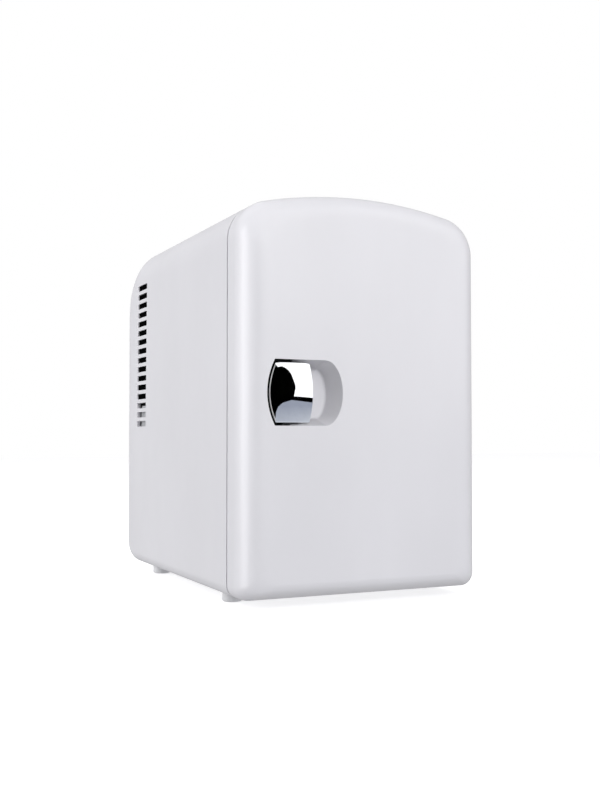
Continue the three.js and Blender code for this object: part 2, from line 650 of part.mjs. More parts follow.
function batteryInlet() {
  const z = CONTROL_Z.battery;
  const { front, rear } = MAINS;
  const barrel = rodY(CONTROL_X, front, rear, z, BATTERY.radius, 16);
  const bore = rodY(CONTROL_X, front + 3, FAR, z, BATTERY.bore, 16);
  return barrel.subtract(bore).add(rodY(CONTROL_X, front + 2.5, rear - 2.4, z, BATTERY.pin, 8));
}

function switchBody() {
  const z = CONTROL_Z.switch;
  const { halfWidth, halfHeight, front, rear, slotHalf, slotHalfHeight } = SWITCH;
  const body = box(CONTROL_X - halfWidth, CONTROL_X + halfWidth, front, rear, z - halfHeight, z + halfHeight);
  return body.subtract(
    box(CONTROL_X - slotHalf, CONTROL_X + slotHalf, front + 6, FAR, z - slotHalfHeight, z + slotHalfHeight));
}

function modeSwitch() {
  const z = CONTROL_Z.switch;
  return box(CONTROL_X - 2, CONTROL_X + 2, SWITCH.front + 6.4, REAR - 0.1, z - 2.4, z + 2.4);
}

add('power_board', powerBoard(), finish.board);
add('power_housing', powerHousing(), finish.housing);
add('mains_inlet', mainsInlet(), finish.black);
add('battery_inlet', batteryInlet(), finish.black);
add('switch_body', switchBody(), finish.black);
add('mode_switch', modeSwitch(), finish.black);
const lensProfile = [
  [0, 0], [LENS.radius, 0], [LENS.radius, LENS.length - 0.8],
  [LENS.radius - 0.6, LENS.length - 0.2], [0, LENS.length],
];
add('lens_warm', turned(lensProfile, [CONTROL_X, LENS.front, CONTROL_Z.warm], 12, toRear), finish.red);
add('lens_cool', turned(lensProfile, [CONTROL_X, LENS.front, CONTROL_Z.cool], 12, toRear), finish.green);

// A round lead along a smooth route.
function lead(route, radius) {
  const curve = new THREE.CatmullRomCurve3(route.map((p) => new THREE.Vector3(...p)), false, 'centripetal');
  const section = new THREE.Shape(arcPoints(0, 0, radius, 0, 2 * Math.PI * (7 / 8), 7));
  return solid(new THREE.ExtrudeGeometry(section, { extrudePath: curve, steps: 18, bevelEnabled: false }));
}

// The module's lead runs in a groove of the insulation, round the heat sink and into the power housing.
const leadZ = COOLER_Z + 8;
add('module_lead', lead([
  [-20.6, 56.3, leadZ], [-34, 56.3, leadZ], [-45.5, 56.6, leadZ], [-50, 64, leadZ],
  [-54, 78, leadZ - 1], [-59, 87, leadZ - 4], [-60, 91, POWER.top + 0.6],
], 0.9), finish.redWire);
add('fan_lead', lead([[-35, 106, 90.4], [-38, 106, 76], [-42.5, 106, 71], [-46, 106, 67]], 1), finish.black);

// ---------------------------------------------------------------- hinges

// The lug carries the pin in front of the frame, and its tenon goes back through the frame.
function hingeLug(z) {
  const { x, y, lug, bore, halfHeight } = HINGE;
  const shoulder = BODY_FRONT - GAP;
  const outline = new THREE.Shape([
    ...arcPoints(x, y, lug, Math.PI, 2 * Math.PI, 8),
    new THREE.Vector2(x + lug, shoulder), new THREE.Vector2(TENON.right, shoulder),
    new THREE.Vector2(TENON.right, TENON.rear), new THREE.Vector2(TENON.left, TENON.rear),
    new THREE.Vector2(TENON.left, shoulder), new THREE.Vector2(x - lug, shoulder)]);
  const tall = prismZ(outline, z - halfHeight, z + halfHeight);
  return without(tall, [
    box(-FAR, FAR, shoulder, FAR, z + TENON.halfHeight, z + halfHeight + 1),
    box(-FAR, FAR, shoulder, FAR, z - halfHeight - 1, z - TENON.halfHeight),
    rodZ(x, y, 0, FAR, bore),
  ]);
}

for (const [name, z] of Object.entries(HINGE_Z)) {
  const reach = HINGE.halfHeight + 7;
  add(`hinge_lug_${name}`, hingeLug(z), finish.shell);
  add(`hinge_pin_${name}`, rodZ(HINGE.x, HINGE.y, z - reach, z + reach, HINGE.radius), finish.steel);
}

// ---------------------------------------------------------------- door

// The plan view that rounds the door's hinge edge about the pins, so that it clears the body as it swings.
function hingeEdge() {
  const radius = DOOR_REAR - HINGE.y;
  const outline = new THREE.Shape([
    new THREE.Vector2(-FAR, -FAR), new THREE.Vector2(HINGE.x + radius, -FAR),
    ...arcPoints(HINGE.x, HINGE.y, radius, 0, Math.PI / 2, 5), new THREE.Vector2(-FAR, DOOR_REAR)]);
  return prismZ(outline, -50, FAR);
}

const hingeZ = Object.values(HINGE_Z);

// The blocks that hold the hinge pins above and below each notch of the door, grown by a slack.
function bossBlocks(slack) {
  const reach = NOTCH.halfHeight + HINGE.boss + slack;
  return hingeZ.map((z) => box(BOSS.left - slack, FAR, BOSS.front - slack, FAR, z - reach, z + reach));
}

// Room for the latch lever's tail to swing.
function tailRoom() {
  const reach = TAIL.halfHeight + 0.6;
  return box(
    PIVOT.x - TAIL.roomLeft, PIVOT.x + TAIL.roomRight, -116, TAIL.tip, COOLER_Z - reach, COOLER_Z + reach);
}

function doorOuter() {
  const form = doorForm(0, DOOR_REAR);
  const hollow = doorForm(WALL, DOOR_REAR + 10);
  const cup = prismY(handleOutline(-HANDLE.cupWall), FRONT, FRONT + HANDLE.depth + HANDLE.cupWall);
  const bossRoom = box(0, FAR, -FAR, BOSS.rear, 0, FAR).intersect(form);
  const bosses = bossBlocks(0).map((one) => one.intersect(bossRoom));
  const whole = joined([form.subtract(hollow), cup.intersect(form), ...bosses]).intersect(hingeEdge());
  return without(whole, [
    prismY(handleOutline(0), -FAR, FRONT + HANDLE.depth),
    tailRoom(),
    ...hingeZ.map((z) => box(
      NOTCH.left, FAR, NOTCH.front, FAR, z - NOTCH.halfHeight, z + NOTCH.halfHeight)),
    ...hingeZ.map((z) => rodZ(
      HINGE.x, HINGE.y, z - 2 * HINGE.halfHeight, z + 2 * HINGE.halfHeight, HINGE.bore)),
  ]);
}

function doorInner() {
  const plate = prismY(frontOutline(WALL + GAP), DOOR_REAR - 3, DOOR_REAR - 1);
  const reach = TONGUE.halfHeight + 1;
  return without(plate.intersect(hingeEdge()), [
    ...bossBlocks(GAP),
    box(TONGUE.left - 1.8, TONGUE.left + TONGUE.arm + 3.7, -FAR, FAR, COOLER_Z - reach, COOLER_Z + reach),
  ]);
}

function doorFoam() {
  const filling = doorForm(WALL + GAP, DOOR_REAR - 3 - GAP);
  const reach = TONGUE.halfHeight + 2;
  const tongueEnd = TONGUE.right + TONGUE.travel + 1.8;
  return without(filling, [
    prismY(handleOutline(-HANDLE.cupWall - GAP), -FAR, FRONT + HANDLE.depth + HANDLE.cupWall + GAP),
    box(TONGUE.left - 3.5, tongueEnd, TONGUE.front - 1.5, FAR, COOLER_Z - reach, COOLER_Z + reach),
    ...bossBlocks(GAP),
  ]);
}

function doorGasket() {
  const ring = prismY(cabinOutline(6.2), DOOR_REAR - 1 + GAP, BODY_FRONT - GAP);
  return ring.subtract(prismY(cabinOutline(2), -FAR, FAR));
}

function doorBin() {
  const { halfWidth, front, rear, bottom, top, wall, corner } = BIN;
  const room = roundedRectangle(
    -halfWidth + wall, halfWidth - wall, front + wall, rear - wall, corner - 1.5, 3);
  return prismZ(roundedRectangle(-halfWidth, halfWidth, front, rear, corner, 3), bottom, top)
    .subtract(prismZ(room, bottom + wall, FAR));
}

add('door_outer', doorOuter(), finish.shell);
add('door_inner', doorInner(), finish.liner);
add('door_foam', doorFoam(), finish.foam);
add('door_gasket', doorGasket(), finish.seal);
add('door_bin', doorBin(), finish.liner);

// ---------------------------------------------------------------- latch

function latchHousing() {
  const { front, wall, floor, right } = LATCH_CUP;
  const rear = FRONT + HANDLE.depth - GAP;
  const room = prismY(handleOutline(GAP + wall), -FAR, rear - floor);
  const cup = prismY(handleOutline(GAP), front, rear).subtract(room);
  const pinReach = PIVOT.halfLength + 0.2;
  return without(cup.intersect(box(-FAR, right, -FAR, FAR, 0, FAR)), [
    tailRoom(),
    rodZ(PIVOT.x, PIVOT.y, COOLER_Z - pinReach, COOLER_Z + pinReach, PIVOT.bore),
  ]);
}

// The arc through two ends and a middle point, as a list of points.
function arcThrough(a, b, c, steps) {
  const d = 2 * (a.x * (b.y - c.y) + b.x * (c.y - a.y) + c.x * (a.y - b.y));
  const [aa, bb, cc] = [a.lengthSq(), b.lengthSq(), c.lengthSq()];
  const x = (aa * (b.y - c.y) + bb * (c.y - a.y) + cc * (a.y - b.y)) / d;
  const y = (aa * (c.x - b.x) + bb * (a.x - c.x) + cc * (b.x - a.x)) / d;
  const angle = (p) => Math.atan2(p.y - y, p.x - x);
  return arcPoints(x, y, Math.hypot(a.x - x, a.y - y), angle(a), angle(c), steps);
}

// The plan of the lever's curved plate.
function leverPlan() {
  const [left, crown, right] = [LEVER_PLAN.left, LEVER_PLAN.crown, LEVER_PLAN.right].map(
    (p) => new THREE.Vector2(...p));
  const behind = (p) => p.clone().add(new THREE.Vector2(0, LEVER.thickness));
  return new THREE.Shape([
    ...arcThrough(left, crown, right, 10),
    ...arcThrough(behind(right), behind(crown), behind(left), 10),
  ]);
}

// One bowed side of the lever in front view; side is 1 for the right one and -1 for the left one.
function bowedSide(edge, bow, side) {
  const radius = (LEVER.halfHeight ** 2 + bow ** 2) / (2 * bow);
  const angle = Math.asin(LEVER.halfHeight / radius);
  const middle = side > 0 ? 0 : Math.PI;
  return arcPoints(edge - side * radius, COOLER_Z, radius, middle - angle, middle + angle, 8);
}

function latchLever() {
  const { halfHeight, barrel, barrelHalf } = LEVER;
  const view = new THREE.Shape([
    ...bowedSide(LEVER_PLAN.right[0], LEVER.rightBow, 1),
    ...bowedSide(LEVER_PLAN.left[0], LEVER.leftBow, -1),
  ]);
  const plate = prismZ(leverPlan(), COOLER_Z - halfHeight, COOLER_Z + halfHeight);
  const left = PIVOT.x - TAIL.halfWidth;
  const right = PIVOT.x + TAIL.halfWidth;
  const bottom = COOLER_Z - barrelHalf;
  const top = COOLER_Z + barrelHalf;
  return without(joined([
    plate.intersect(prismY(view, -FAR, FAR)),
    rodZ(PIVOT.x, PIVOT.y, bottom, top, barrel),
    box(left, right, -120.6, PIVOT.y, bottom, top),
    box(left, right, PIVOT.y, TAIL.tip, COOLER_Z - TAIL.halfHeight, COOLER_Z + TAIL.halfHeight),
  ]), [
    rodZ(PIVOT.x, PIVOT.y, 0, FAR, PIVOT.bore),
    box(PIVOT.x - 3.2, PIVOT.x + 3.2, PIVOT.y - 3, PIVOT.y + 3.2,
      COOLER_Z + SPRING.roomBottom, COOLER_Z + SPRING.roomTop),
  ]);
}

function latchTongue() {
  const { left, right, front, rear, halfHeight, arm, tip } = TONGUE;
  const barb = tip - 3.2;
  const outline = new THREE.Shape([
    new THREE.Vector2(left, front), new THREE.Vector2(right, front), new THREE.Vector2(right, rear),
    new THREE.Vector2(left + arm, rear), new THREE.Vector2(left + arm, tip),
    new THREE.Vector2(left, barb), new THREE.Vector2(left - 1.5, barb), new THREE.Vector2(left, barb - 2.3)]);
  const body = prismZ(outline, COOLER_Z - halfHeight, COOLER_Z + halfHeight);
  const half = TAIL.halfWidth + 0.6;
  const reach = TAIL.halfHeight + 0.4;
  return body.subtract(box(PIVOT.x - half, PIVOT.x + half, -FAR, -100, COOLER_Z - reach, COOLER_Z + reach));
}

// A torsion coil round the latch pin.
function latchSpring() {
  const { coil, wire, turns, pitch, bottom } = SPRING;
  const steps = turns * 10;
  const points = [];
  for (let i = 0; i <= steps; i++) {
    const turn = (i / steps) * turns;
    const angle = turn * 2 * Math.PI;
    points.push(new THREE.Vector3(
      PIVOT.x + coil * Math.cos(angle), PIVOT.y + coil * Math.sin(angle), COOLER_Z + bottom + turn * pitch));
  }
  const section = new THREE.Shape(arcPoints(0, 0, wire, 0, 2 * Math.PI * (5 / 6), 5));
  const extrudePath = new THREE.CatmullRomCurve3(points);
  return solid(new THREE.ExtrudeGeometry(section, { extrudePath, steps, bevelEnabled: false }));
}

add('latch_housing', latchHousing(), finish.black);
add('latch_lever', latchLever(), finish.chrome);
const pinBottom = COOLER_Z - PIVOT.halfLength;
const pinTop = COOLER_Z + PIVOT.halfLength;
add('latch_pin', rodZ(PIVOT.x, PIVOT.y, pinBottom, pinTop, PIVOT.radius), finish.steel);
add('latch_spring', latchSpring(), finish.steel);
add('latch_tongue', latchTongue(), finish.black);
add('latch_keeper', box(
  KEEPER.left, KEEPER.right, KEEPER.front, KEEPER.rear,
  COOLER_Z - KEEPER.halfHeight, COOLER_Z + KEEPER.halfHeight), finish.steel);

export default group;
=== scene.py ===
"""Visual model of a portable thermoelectric mini fridge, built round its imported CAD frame, in metres."""

import json
import math

import bmesh
import bpy
from mathutils import Matrix, Vector


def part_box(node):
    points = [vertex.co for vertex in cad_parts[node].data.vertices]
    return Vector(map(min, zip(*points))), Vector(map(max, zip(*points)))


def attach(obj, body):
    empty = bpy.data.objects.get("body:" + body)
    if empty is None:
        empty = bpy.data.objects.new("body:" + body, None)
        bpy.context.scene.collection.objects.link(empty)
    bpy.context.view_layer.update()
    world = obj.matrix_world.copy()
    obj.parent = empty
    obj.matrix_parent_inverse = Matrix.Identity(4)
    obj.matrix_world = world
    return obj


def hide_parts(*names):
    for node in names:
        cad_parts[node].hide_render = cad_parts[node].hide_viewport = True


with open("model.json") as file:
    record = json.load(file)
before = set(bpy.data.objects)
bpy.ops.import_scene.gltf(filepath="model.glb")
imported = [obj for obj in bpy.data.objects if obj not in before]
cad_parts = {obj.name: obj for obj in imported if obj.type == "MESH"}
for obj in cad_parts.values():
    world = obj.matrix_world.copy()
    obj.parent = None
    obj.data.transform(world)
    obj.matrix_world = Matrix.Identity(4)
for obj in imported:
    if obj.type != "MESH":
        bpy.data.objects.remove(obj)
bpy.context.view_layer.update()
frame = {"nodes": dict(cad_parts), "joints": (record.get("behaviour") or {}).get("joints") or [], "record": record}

MM = 0.001
TURN = 2 * math.pi

# Shape rules shared with the CAD outlines
SAG = 12 * MM
TOP_CORNER = 24.4 * MM
LOWER_CORNER = 8.3 * MM
WALL = 2.5 * MM
GAP = 0.3 * MM
FRONT_ROLL = {"depth": 17 * MM, "side": 17 * MM, "top": 15 * MM, "bottom": 11 * MM}
REAR_ROLL = {"depth": 32 * MM, "side": 1.2 * MM, "top": 32 * MM, "bottom": 10 * MM}
VENT = {"count": 16, "top": 221.5 * MM, "pitch": 7.02 * MM, "height": 4.2 * MM}
VENT_LEAN = {"rate": 0.022, "level": 156 * MM}
VENT_Y = (74.5 * MM, 97.2 * MM)
# Black pads set into the vent slots from inside, painted shade for the dark inside of the vents
VENT_SHADE_PAD = {"recess": 0.9 * MM, "strip": 0.5 * MM, "margin": 3 * MM, "gap": 0.03 * MM}
HANDLE_TRAY = {"half": 58 * MM, "front": -22 * MM, "rear": 36 * MM, "bottom": 234 * MM, "wall": 2 * MM}
GRILLE = {"radius": 38 * MM, "pitch": 8 * MM, "half": 2 * MM, "ring": (41 * MM, 43 * MM), "rise": 0.6 * MM}
SCREW = {"clearance": 1.8 * MM, "head": 3.2 * MM, "sink": 1.3 * MM}
FOOT_WALL = {"flare": 5.2 * MM, "top": 5.7 * MM, "stem": 2.2 * MM}
PIN_BORE = {"handle": 1.9 * MM, "lever": 1.55 * MM, "hinge": 2.1 * MM}
LEVER = {
    "left_bow": 4 * MM, "right_bow": 2.4 * MM, "fall": 4.4, "fall_change": 1.4, "dish": 0.9 * MM,
    "thickness": 2.2 * MM, "barrel": 2.4 * MM, "web": 1.5 * MM,
}
# A grey bead on the lever's left edge, painted highlight for the light that edge catches
HIGHLIGHT_BEAD = {"radius": 0.42 * MM, "across": -0.94, "reach": 0.95, "sink": 0.15 * MM}
CUP = {"inset": 0.9 * MM, "floor": 1.5 * MM}

DOOR_LOW, DOOR_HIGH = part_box("door_outer")
SHELL_LOW, SHELL_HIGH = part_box("outer_shell")
COVER_LOW, COVER_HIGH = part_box("rear_cover")
LEVER_LOW, LEVER_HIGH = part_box("latch_lever")
HOUSING_LOW, HOUSING_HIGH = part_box("latch_housing")
MIDDLE_Z = (LEVER_LOW.z + LEVER_HIGH.z) / 2
JOINTS = {joint["name"]: joint for joint in frame["joints"]}


# ---------------------------------------------------------------- outlines


def arc(cx, cy, radius, start, end, steps):
    """Points of a circular arc, both ends included."""
    angles = [start + (end - start) * i / steps for i in range(steps + 1)]
    return [(cx + radius * math.cos(a), cy + radius * math.sin(a)) for a in angles]


def circle(cx, cy, radius, steps=40):
    return arc(cx, cy, radius, 0, TURN, steps)[:-1]


def rectangle(x0, x1, y0, y1):
    return [(x0, y0), (x1, y0), (x1, y1), (x0, y1)]


def rounded(x0, x1, y0, y1, radius, steps=8):
    quarter = TURN / 4
    return (
        arc(x1 - radius, y0 + radius, radius, -quarter, 0, steps)
        + arc(x1 - radius, y1 - radius, radius, 0, quarter, steps)
        + arc(x0 + radius, y1 - radius, radius, quarter, 2 * quarter, steps)
        + arc(x0 + radius, y0 + radius, radius, 2 * quarter, 3 * quarter, steps)
    )


def front_outline(inset):
    """The front view of door and body: straight sides, small lower corners, an arch over larger ones."""
    half = SHELL_HIGH.x - inset
    bottom = SHELL_LOW.z + inset
    top = SHELL_HIGH.z
    radius = (SHELL_HIGH.x**2 + SAG**2) / (2 * SAG)
    centre = top - radius
    arch = radius - inset
    corner = TOP_CORNER - inset
    lower = max(LOWER_CORNER - inset, MM)
    corner_x = half - corner
    corner_z = centre + math.sqrt((arch - corner) ** 2 - corner_x**2)
    meet = math.atan2(corner_z - centre, corner_x)
    return (
        arc(half - lower, bottom + lower, lower, -TURN / 4, 0, 10)
        + arc(corner_x, corner_z, corner, 0, meet, 20)[:-1]
        + arc(0, centre, arch, meet, TURN / 2 - meet, 40)[:-1]
        + arc(-corner_x, corner_z, corner, TURN / 2 - meet, TURN / 2, 20)
        + arc(-half + lower, bottom + lower, lower, TURN / 2, 0.75 * TURN, 10)
    )


# ---------------------------------------------------------------- solids


def solid(name, vertices, faces):
    mesh = bpy.data.meshes.new(name)
    mesh.from_pydata(vertices, [], faces)
    work = bmesh.new()
    work.from_mesh(mesh)
    bmesh.ops.recalc_face_normals(work, faces=work.faces)
    work.to_mesh(mesh)
    work.free()
    obj = bpy.data.objects.new(name, mesh)
    bpy.context.scene.collection.objects.link(obj)
    return obj


def loft(name, rings):
    """A closed solid through rings that have the same number of points, with both ends capped."""
    count = len(rings[0])
    vertices = [point for ring in rings for point in ring]
    last = len(vertices) - count
    faces = [tuple(range(count)), tuple(range(last, len(vertices)))]
    for start in range(0, last, count):
        for i in range(count):
            j = (i + 1) % count
            faces.append((start + i, start + j, start + count + j, start + count + i))
    return solid(name, vertices, faces)


PLACES = {
    "x": lambda u, v, t: (t, u, v),
    "y": lambda u, v, t: (u, t, v),
    "z": lambda u, v, t: (u, v, t),
}


def prism(points, axis, low, high, name="prism"):
    place = PLACES[axis]
    return loft(name, [[place(u, v, t) for u, v in points] for t in (low, high)])


def turned(name, profile, centre, axis, steps=40):
    """A round solid from a profile of (radius, place along the axis). centre is the other two places."""
    place = PLACES[axis]
    rings = []
    for radius, along in profile:
        rings.append([place(u, v, along) for u, v in circle(*centre, max(radius, 0.02 * MM), steps)])
    return loft(name, rings)


def applied(obj):
    graph = bpy.context.evaluated_depsgraph_get()
    mesh = bpy.data.meshes.new_from_object(obj.evaluated_get(graph))
    obj.modifiers.clear()
    obj.data = mesh
    return obj


def combine(obj, others, operation):
    for other in others:
        modifier = obj.modifiers.new("combine", "BOOLEAN")
        modifier.operation = operation
        modifier.solver = "MANIFOLD"
        modifier.object = other
    applied(obj)
    for other in others:
        bpy.data.objects.remove(other)
    return obj


def cut(obj, *others):
    return combine(obj, others, "DIFFERENCE")


def add(obj, *others):
    return combine(obj, others, "UNION")


def meet(obj, *others):
    return combine(obj, others, "INTERSECT")


def soften(obj, width, segments=3, angle=38):
    """Rounds the sharp edges, then shades the piece with its flat faces kept flat."""
    if width:
        bevel = obj.modifiers.new("bevel", "BEVEL")
        bevel.width = width
        bevel.segments = segments
        bevel.limit_method = "ANGLE"
        bevel.angle_limit = math.radians(angle)
        bevel.miter_outer = "MITER_ARC"
        applied(obj)
    for polygon in obj.data.polygons:
        polygon.use_smooth = True
    obj.data.set_sharp_from_angle(angle=math.radians(50))
    weighted = obj.modifiers.new("weighted", "WEIGHTED_NORMAL")
    weighted.keep_sharp = True


def piece(obj, name, material, body, slot, *stands_for):
    """Names a finished piece, gives it its material and ties it to the frame."""
    obj.name = name
    obj.data.materials.clear()
    obj.data.materials.append(material)
    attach(obj, body)
    if stands_for:
        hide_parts(*stands_for)


def roll_margin(reach, depth, distance):
    past = max(0.0, 1 - distance / depth)
    return reach * (1 - math.sqrt(1 - past**2))


def roll_rings(end, sign, roll, inset, steps):
    """Rings of an end that rolls over, from its face inwards. sign is 1 at the rear and -1 at the front."""
    outline = front_outline(inset)
    half = SHELL_HIGH.x - inset
    bottom = SHELL_LOW.z + inset
    height = SHELL_HIGH.z - inset - bottom
    depth = roll["depth"] - inset
    lower_depth = min(roll["bottom"] - inset, depth) + 6 * MM
    rings = []
    for i in range(steps + 1):
        distance = depth * (1 - math.cos(TURN / 4 * i / steps))
        side = roll_margin(max(roll["side"] - inset, MM), depth, distance)
        top = roll_margin(roll["top"] - inset, depth, distance)
        low = roll_margin(roll["bottom"] - inset, lower_depth, distance)
        scale_x = 1 - side / half
        scale_z = 1 - (top + low) / height
        y = end - sign * distance
        rings.append([(x * scale_x, y, bottom + low + (z - bottom) * scale_z) for x, z in outline])
    return rings


def body_form(inset, front):
    plain = [(x, front, z) for x, z in front_outline(inset)]
    return loft("body_form", roll_rings(SHELL_HIGH.y - inset, 1, REAR_ROLL, inset, 22) + [plain])


def door_form(inset, rear):
    plain = [(x, rear, z) for x, z in front_outline(inset)]
    return loft("door_form", roll_rings(DOOR_LOW.y + inset, -1, FRONT_ROLL, inset, 16) + [plain])


# ---------------------------------------------------------------- materials


class Nodes:
    """A material's node tree, with short ways to add its usual parts."""

    def __init__(self, name):
        self.material = bpy.data.materials.new(name)
        self.material.use_nodes = True
        self.tree = self.material.node_tree
        self.shader = self.tree.nodes["Principled BSDF"]
        self.place = self.tree.nodes.new("ShaderNodeTexCoord").outputs["Object"]

    def noise(self, scale, detail=2.0, stretch=None):
        noise = self.tree.nodes.new("ShaderNodeTexNoise")
        noise.inputs["Scale"].default_value = scale
        noise.inputs["Detail"].default_value = detail
        place = self.place
        if stretch:
            mapping = self.tree.nodes.new("ShaderNodeMapping")
            mapping.inputs["Scale"].default_value = stretch
            self.tree.links.new(place, mapping.inputs["Vector"])
            place = mapping.outputs["Vector"]
        self.tree.links.new(place, noise.inputs["Vector"])
        return noise.outputs["Fac"]

    def ramp(self, value, stops):
        ramp = self.tree.nodes.new("ShaderNodeValToRGB")
        elements = ramp.color_ramp.elements
        for i, (at, colour) in enumerate(stops):
            element = elements[i] if i < 2 else elements.new(at)
            element.position = at
            element.color = (*colour, 1)
        self.tree.links.new(value, ramp.inputs["Fac"])
        return ramp.outputs["Color"]

    def span(self, value, low, high):
        span = self.tree.nodes.new("ShaderNodeMapRange")
        span.inputs["From Min"].default_value = 0.3
        span.inputs["From Max"].default_value = 0.7
        span.inputs["To Min"].default_value = low
        span.inputs["To Max"].default_value = high
        self.tree.links.new(value, span.inputs["Value"])
        return span.outputs["Result"]

    def bump(self, height, strength, distance, base=None):
        bump = self.tree.nodes.new("ShaderNodeBump")
        bump.inputs["Strength"].default_value = strength
        bump.inputs["Distance"].default_value = distance
        self.tree.links.new(height, bump.inputs["Height"])
        if base:
            self.tree.links.new(base, bump.inputs["Normal"])
        return bump.outputs["Normal"]

    def feed(self, socket, output):
        self.tree.links.new(output, self.shader.inputs[socket])


def shade(colour, factor):
    return tuple(c * factor for c in colour)


def moulded(name, colour, roughness, grain=0.05, grain_size=0.45 * MM, spread=0.025, coat=0.0):
    """Injection-moulded plastic: a fine spark-eroded grain, faint flow marks and uneven gloss."""
    nodes = Nodes(name)
    flow = nodes.noise(14, 3, (1, 1, 0.35))
    tones = [(0.3, shade(colour, 1 - spread)), (0.7, shade(colour, 1 + spread))]
    nodes.feed("Base Color", nodes.ramp(flow, tones))
    nodes.feed("Roughness", nodes.span(nodes.noise(55, 4), roughness - 0.05, roughness + 0.06))
    waves = nodes.bump(nodes.noise(30, 1), 0.05, 0.2 * MM)
    nodes.feed("Normal", nodes.bump(nodes.noise(1 / grain_size, 2), grain, 0.04 * MM, waves))
    nodes.shader.inputs["Coat Weight"].default_value = coat
    nodes.shader.inputs["Coat Roughness"].default_value = 0.2
    return nodes.material


def metal(name, colour, roughness, brush=None, depth=0.02 * MM):
    """Bare or plated metal, with brushed lines along one direction where brush gives their stretch."""
    nodes = Nodes(name)
    nodes.shader.inputs["Metallic"].default_value = 1.0
    lines = nodes.noise(900, 3, brush) if brush else nodes.noise(140, 4)
    nodes.feed("Base Color", nodes.ramp(lines, [(0.3, shade(colour, 0.93)), (0.7, colour)]))
    nodes.feed("Roughness", nodes.span(lines, roughness * 0.6, roughness * 1.4))
    nodes.feed("Normal", nodes.bump(lines, 0.25 if brush else 0.05, depth))
    return nodes.material


def beaded_foam(name, colour):
    """Moulded bead foam: closed beads a few millimetres across with dimpled joins."""
    nodes = Nodes(name)
    beads = nodes.tree.nodes.new("ShaderNodeTexVoronoi")
    beads.inputs["Scale"].default_value = 300
    nodes.tree.links.new(nodes.place, beads.inputs["Vector"])
    joins = beads.outputs["Distance"]
    nodes.feed("Base Color", nodes.ramp(joins, [(0.1, colour), (0.9, shade(colour, 0.86))]))
    nodes.feed("Normal", nodes.bump(joins, 0.6, -0.5 * MM))
    nodes.shader.inputs["Roughness"].default_value = 0.9
    return nodes.material


def soft_rubber(name, colour, roughness=0.7):
    nodes = Nodes(name)
    dust = nodes.noise(80, 5)
    nodes.feed("Base Color", nodes.ramp(dust, [(0.35, shade(colour, 0.92)), (0.7, shade(colour, 1.06))]))
    nodes.feed("Roughness", nodes.span(dust, roughness - 0.06, roughness + 0.1))
    nodes.feed("Normal", nodes.bump(nodes.noise(1500, 2), 0.15, 0.05 * MM))
    nodes.shader.inputs["Sheen Weight"].default_value = 0.15
    return nodes.material


def circuit_board(name, colour):
    nodes = Nodes(name)
    tracks = nodes.tree.nodes.new("ShaderNodeTexBrick")
    tracks.inputs["Scale"].default_value = 90
    tracks.inputs["Color1"].default_value = (*colour, 1)
    tracks.inputs["Color2"].default_value = (*shade(colour, 1.3), 1)
    tracks.inputs["Mortar"].default_value = (*shade(colour, 2.2), 1)
    nodes.tree.links.new(nodes.place, tracks.inputs["Vector"])
    nodes.feed("Base Color", tracks.outputs["Color"])
    nodes.feed("Roughness", nodes.span(nodes.noise(60, 2), 0.35, 0.5))
    return nodes.material


def coloured_lens(name, colour):
    nodes = Nodes(name)
    nodes.feed("Base Color", nodes.ramp(nodes.noise(200, 2), [(0.3, shade(colour, 0.85)), (0.7, colour)]))
    nodes.shader.inputs["Roughness"].default_value = 0.12
    nodes.shader.inputs["Coat Weight"].default_value = 0.6
    return nodes.material


WHITE = (0.735, 0.730, 0.765)
SHELL = moulded("shell_plastic", WHITE, 0.36, coat=0.5)
LINER = moulded("liner_plastic", (0.78, 0.78, 0.79), 0.5, grain=0.02, spread=0.012)
BLACK = moulded("black_plastic", (0.003, 0.003, 0.0035), 0.4, grain=0.04)
BLACK.node_tree.nodes["Principled BSDF"].inputs["Specular IOR Level"].default_value = 0.06
# Dead black without specular for the vent pads, painted shade inside the slots
PAINTED_SHADE_BLACK = moulded("painted_shade_black", (0.002, 0.002, 0.0022), 0.9, grain=0.5)
PAINTED_SHADE_BLACK.node_tree.nodes["Principled BSDF"].inputs["Specular IOR Level"].default_value = 0.0
BLACK_MATTE = moulded("black_grained_plastic", (0.014, 0.014, 0.015), 0.45, grain=0.15)
HOUSING_GREY = moulded("grey_plastic", (0.42, 0.425, 0.44), 0.5, grain=0.12)
CERAMIC = moulded("module_ceramic", (0.82, 0.82, 0.79), 0.4, grain=0.1)
LEAD_RED = moulded("red_sleeve", (0.42, 0.02, 0.02), 0.4, grain=0.03)
LEAD_BLACK = moulded("black_sleeve", (0.015, 0.015, 0.016), 0.4, grain=0.03)
FOAM = beaded_foam("bead_foam", (0.86, 0.86, 0.85))
SEAL = soft_rubber("seal_rubber", (0.60, 0.60, 0.61))
FOOT = soft_rubber("foot_rubber", (0.74, 0.74, 0.76))
CHROME = metal("chrome_plating", (0.86, 0.87, 0.89), 0.02, depth=0.002 * MM)
STEEL = metal("zinc_steel", (0.55, 0.56, 0.58), 0.28)
ALUMINIUM = metal("extruded_aluminium", (0.72, 0.73, 0.75), 0.34, (0.03, 1, 1))
BOARD = circuit_board("circuit_board", (0.015, 0.10, 0.035))
LENS_RED = coloured_lens("red_lens", (0.55, 0.02, 0.015))
LENS_GREEN = coloured_lens("green_lens", (0.03, 0.32, 0.05))

MATERIALS = {
    "shell_white": SHELL,
    "liner_white": LINER,
    "black_plastic": BLACK_MATTE,
    "chrome": CHROME,
    "steel": STEEL,
    "aluminium": ALUMINIUM,
    "foam_white": FOAM,
    "seal_grey": SEAL,
    "foot_grey": FOOT,
    "ceramic_white": CERAMIC,
    "board_green": BOARD,
    "housing_grey": HOUSING_GREY,
    "lens_red": LENS_RED,
    "lens_green": LENS_GREEN,
    "lead_red": LEAD_RED,
    "lead_black": LEAD_BLACK,
}


